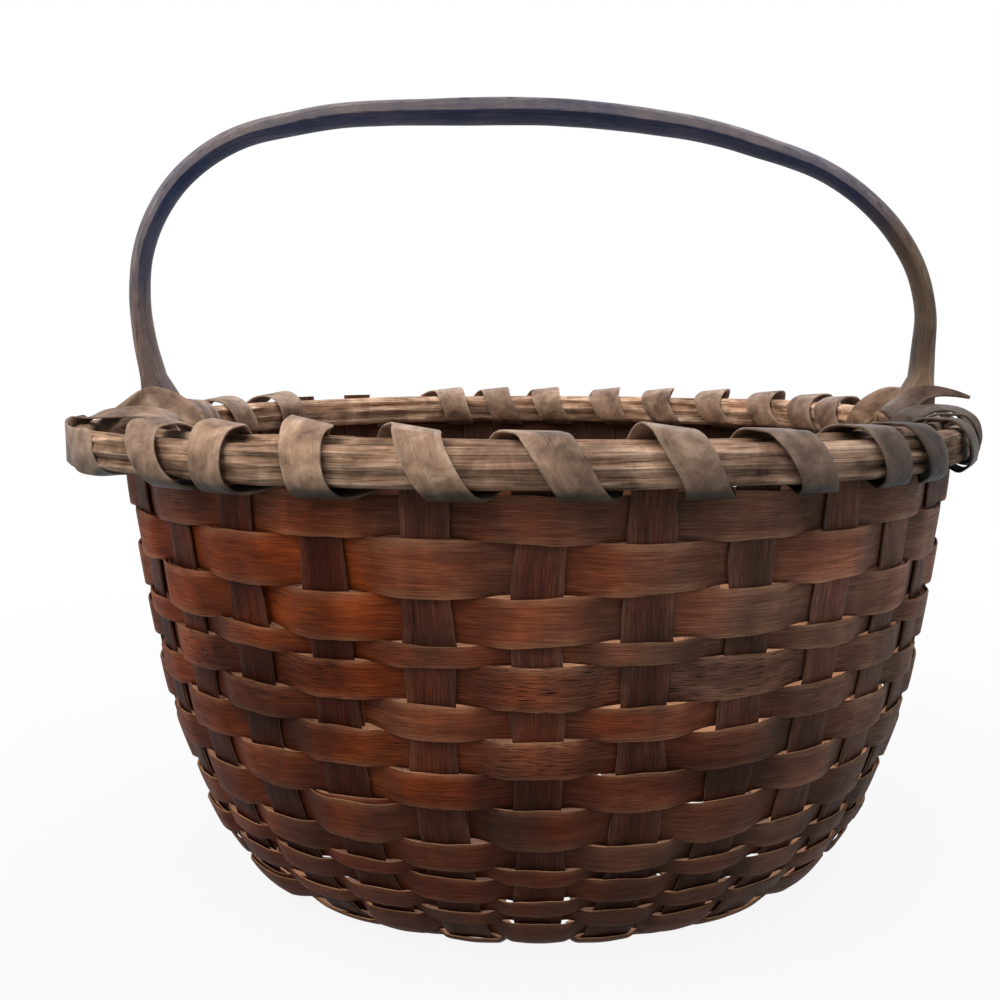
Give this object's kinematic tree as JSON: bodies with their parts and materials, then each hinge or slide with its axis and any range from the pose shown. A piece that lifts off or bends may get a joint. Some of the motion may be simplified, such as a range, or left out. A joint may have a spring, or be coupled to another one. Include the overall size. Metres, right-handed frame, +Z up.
{
  "type": "gathering basket",
  "caption": "Round splint basket with a plaited base, straight-sided weave, two lashed rim hoops and a fixed arched handle.",
  "frame": {"origin": "on the ground under the middle of the basket's whole width and depth; the base's middle is 3.5 mm to its right, because the rim bows out at the left", "axes": "+Z up, the handle's arch stands in the XZ plane, -Y is the front seen in the picture"},
  "size_m": [0.3919, 0.3677, 0.3242],
  "materials": {
    "stake_splint": "aged, dark, satin",
    "weaver_splint": "aged, red-brown, satin",
    "hoop_wood": "riven, dry",
    "lashing_splint": "dry splint",
    "handle_wood": "worn, satin"
  },
  "bodies": {
    "root": {"foot_lash_left": "lashing_splint", "foot_lash_right": "lashing_splint", "front_stake_01": "stake_splint", "front_stake_02": "stake_splint", "front_stake_03": "stake_splint", "front_stake_04": "stake_splint", "front_stake_05": "stake_splint", "front_stake_06": "stake_splint", "front_stake_07": "stake_splint", "handle": "handle_wood", "inner_hoop": "hoop_wood", "lashing_back_left": "lashing_splint", "lashing_back_right": "lashing_splint", "lashing_front": "lashing_splint", "outer_hoop": "hoop_wood", "side_stake_01": "stake_splint", "side_stake_02": "stake_splint", "side_stake_03": "stake_splint", "side_stake_04": "stake_splint", "side_stake_05": "stake_splint", "side_stake_06": "stake_splint", "side_stake_07": "stake_splint", "side_stake_08": "stake_splint", "weaver_row_01": "weaver_splint", "weaver_row_02": "weaver_splint", "weaver_row_03": "weaver_splint", "weaver_row_04": "weaver_splint", "weaver_row_05": "weaver_splint", "weaver_row_06": "weaver_splint", "weaver_row_07": "weaver_splint", "weaver_row_08": "weaver_splint", "weaver_row_09": "weaver_splint", "weaver_row_10": "weaver_splint", "weaver_row_11": "weaver_splint", "weaver_row_12": "weaver_splint", "weaver_row_13": "weaver_splint", "weaver_row_14": "weaver_splint", "weaver_row_15": "weaver_splint", "weaver_row_16": "weaver_splint", "weaver_row_17": "weaver_splint"}
  },
  "joints": []
}
